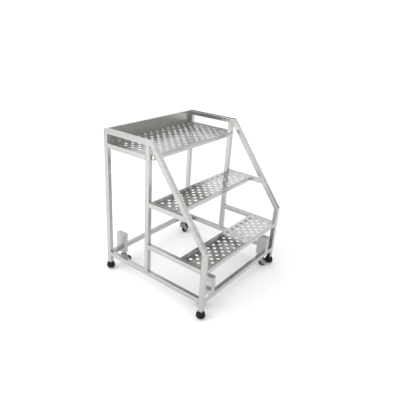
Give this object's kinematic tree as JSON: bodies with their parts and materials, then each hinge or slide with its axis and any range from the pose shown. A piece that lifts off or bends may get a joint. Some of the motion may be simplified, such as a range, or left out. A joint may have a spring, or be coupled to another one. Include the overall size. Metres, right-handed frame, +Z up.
{
  "type": "mobile ladder stand",
  "caption": "Mobile ladder stand of welded square stainless tube: punched steps, a guarded platform, rubber feet and spring-loaded swivel casters.",
  "frame": {"origin": "on the floor under the middle of the stand, which stands on its wheels with its feet 10 mm clear", "axes": "+X across the stand to the user's right when climbing, +Y from the front of the lower step to the back panel, +Z up"},
  "size_m": [0.7868, 0.7408, 0.8746],
  "materials": {
    "frame_tube": "brushed",
    "tread_sheet": "brushed",
    "panel_sheet": "mill finish, slightly reflective",
    "housing_sheet": "brushed",
    "bush_bronze": "sintered bronze",
    "spring_wire": "drawn wire",
    "zinc_plated": "bright zinc plate",
    "bolt_plated": "bright plated",
    "foot_rubber": "matt moulded",
    "tyre": "matt moulded",
    "hub_plastic": "moulded"
  },
  "bodies": {
    "stand_frame": {"rear_leg_left": "frame_tube", "front_leg_left": "frame_tube", "middle_post_left": "frame_tube", "base_rail_left": "frame_tube", "guard_rail_left": "frame_tube", "sloped_rail_left": "frame_tube", "lower_step_rail_left": "frame_tube", "middle_step_rail_left": "frame_tube", "platform_rail_left": "frame_tube", "rear_leg_right": "frame_tube", "front_leg_right": "frame_tube", "middle_post_right": "frame_tube", "base_rail_right": "frame_tube", "guard_rail_right": "frame_tube", "sloped_rail_right": "frame_tube", "lower_step_rail_right": "frame_tube", "middle_step_rail_right": "frame_tube", "platform_rail_right": "frame_tube", "rear_cross_rail": "frame_tube", "front_cross_rail": "frame_tube", "lower_tread": "tread_sheet", "middle_tread": "tread_sheet", "platform_deck": "tread_sheet", "back_panel": "panel_sheet", "rubber_foot_rear_left": "foot_rubber", "spring_housing_rear_left": "housing_sheet", "guide_bush_rear_left": "bush_bronze", "caster_spring_rear_left": "spring_wire", "rubber_foot_rear_right": "foot_rubber", "spring_housing_rear_right": "housing_sheet", "guide_bush_rear_right": "bush_bronze", "caster_spring_rear_right": "spring_wire", "rubber_foot_front_left": "foot_rubber", "spring_housing_front_left": "housing_sheet", "guide_bush_front_left": "bush_bronze", "caster_spring_front_left": "spring_wire", "rubber_foot_front_right": "foot_rubber", "spring_housing_front_right": "housing_sheet", "guide_bush_front_right": "bush_bronze", "caster_spring_front_right": "spring_wire"},
    "plunger_rear_left": {"caster_stem_rear_left": "zinc_plated"},
    "fork_rear_left": {"caster_fork_rear_left": "zinc_plated", "axle_bolt_rear_left": "bolt_plated"},
    "wheel_rear_left": {"caster_tyre_rear_left": "tyre", "caster_hub_rear_left": "hub_plastic"},
    "plunger_rear_right": {"caster_stem_rear_right": "zinc_plated"},
    "fork_rear_right": {"caster_fork_rear_right": "zinc_plated", "axle_bolt_rear_right": "bolt_plated"},
    "wheel_rear_right": {"caster_tyre_rear_right": "tyre", "caster_hub_rear_right": "hub_plastic"},
    "plunger_front_left": {"caster_stem_front_left": "zinc_plated"},
    "fork_front_left": {"caster_fork_front_left": "zinc_plated", "axle_bolt_front_left": "bolt_plated"},
    "wheel_front_left": {"caster_tyre_front_left": "tyre", "caster_hub_front_left": "hub_plastic"},
    "plunger_front_right": {"caster_stem_front_right": "zinc_plated"},
    "fork_front_right": {"caster_fork_front_right": "zinc_plated", "axle_bolt_front_right": "bolt_plated"},
    "wheel_front_right": {"caster_tyre_front_right": "tyre", "caster_hub_front_right": "hub_plastic"}
  },
  "joints": [
    {"name": "rear_left_spring_slide", "type": "slide", "parent": "stand_frame", "child": "plunger_rear_left", "axis": [0, 0, 1], "range_m": [0, 0.012], "stiffness_N_per_m": 4000, "springref_m": -0.025, "deforming": ["caster_spring_rear_left"]},
    {"name": "rear_left_swivel", "type": "hinge", "parent": "plunger_rear_left", "child": "fork_rear_left", "pos_m": [-0.288, 0.3135, 0.064], "axis": [0, 0, 1], "continuous": true},
    {"name": "rear_left_wheel_spin", "type": "hinge", "parent": "fork_rear_left", "child": "wheel_rear_left", "pos_m": [-0.256, 0.3135, 0.0254], "axis": [0, -1, 0], "continuous": true},
    {"name": "rear_right_spring_slide", "type": "slide", "parent": "stand_frame", "child": "plunger_rear_right", "axis": [0, 0, 1], "range_m": [0, 0.012], "stiffness_N_per_m": 4000, "springref_m": -0.025, "deforming": ["caster_spring_rear_right"]},
    {"name": "rear_right_swivel", "type": "hinge", "parent": "plunger_rear_right", "child": "fork_rear_right", "pos_m": [0.288, 0.3135, 0.064], "axis": [0, 0, 1], "continuous": true},
    {"name": "rear_right_wheel_spin", "type": "hinge", "parent": "fork_rear_right", "child": "wheel_rear_right", "pos_m": [0.31996, 0.31183, 0.0254], "axis": [-0.0523, -0.9986, 0], "continuous": true},
    {"name": "front_left_spring_slide", "type": "slide", "parent": "stand_frame", "child": "plunger_front_left", "axis": [0, 0, 1], "range_m": [0, 0.012], "stiffness_N_per_m": 4000, "springref_m": -0.025, "deforming": ["caster_spring_front_left"]},
    {"name": "front_left_swivel", "type": "hinge", "parent": "plunger_front_left", "child": "fork_front_left", "pos_m": [-0.288, -0.3135, 0.064], "axis": [0, 0, 1], "continuous": true},
    {"name": "front_left_wheel_spin", "type": "hinge", "parent": "fork_front_left", "child": "wheel_front_left", "pos_m": [-0.28299, -0.28189, 0.0254], "axis": [0.9877, -0.1564, 0], "continuous": true},
    {"name": "front_right_spring_slide", "type": "slide", "parent": "stand_frame", "child": "plunger_front_right", "axis": [0, 0, 1], "range_m": [0, 0.012], "stiffness_N_per_m": 4000, "springref_m": -0.025, "deforming": ["caster_spring_front_right"]},
    {"name": "front_right_swivel", "type": "hinge", "parent": "plunger_front_right", "child": "fork_front_right", "pos_m": [0.288, -0.3135, 0.064], "axis": [0, 0, 1], "continuous": true},
    {"name": "front_right_wheel_spin", "type": "hinge", "parent": "fork_front_right", "child": "wheel_front_right", "pos_m": [0.31625, -0.32852, 0.0254], "axis": [-0.4695, -0.8829, 0], "continuous": true}
  ]
}
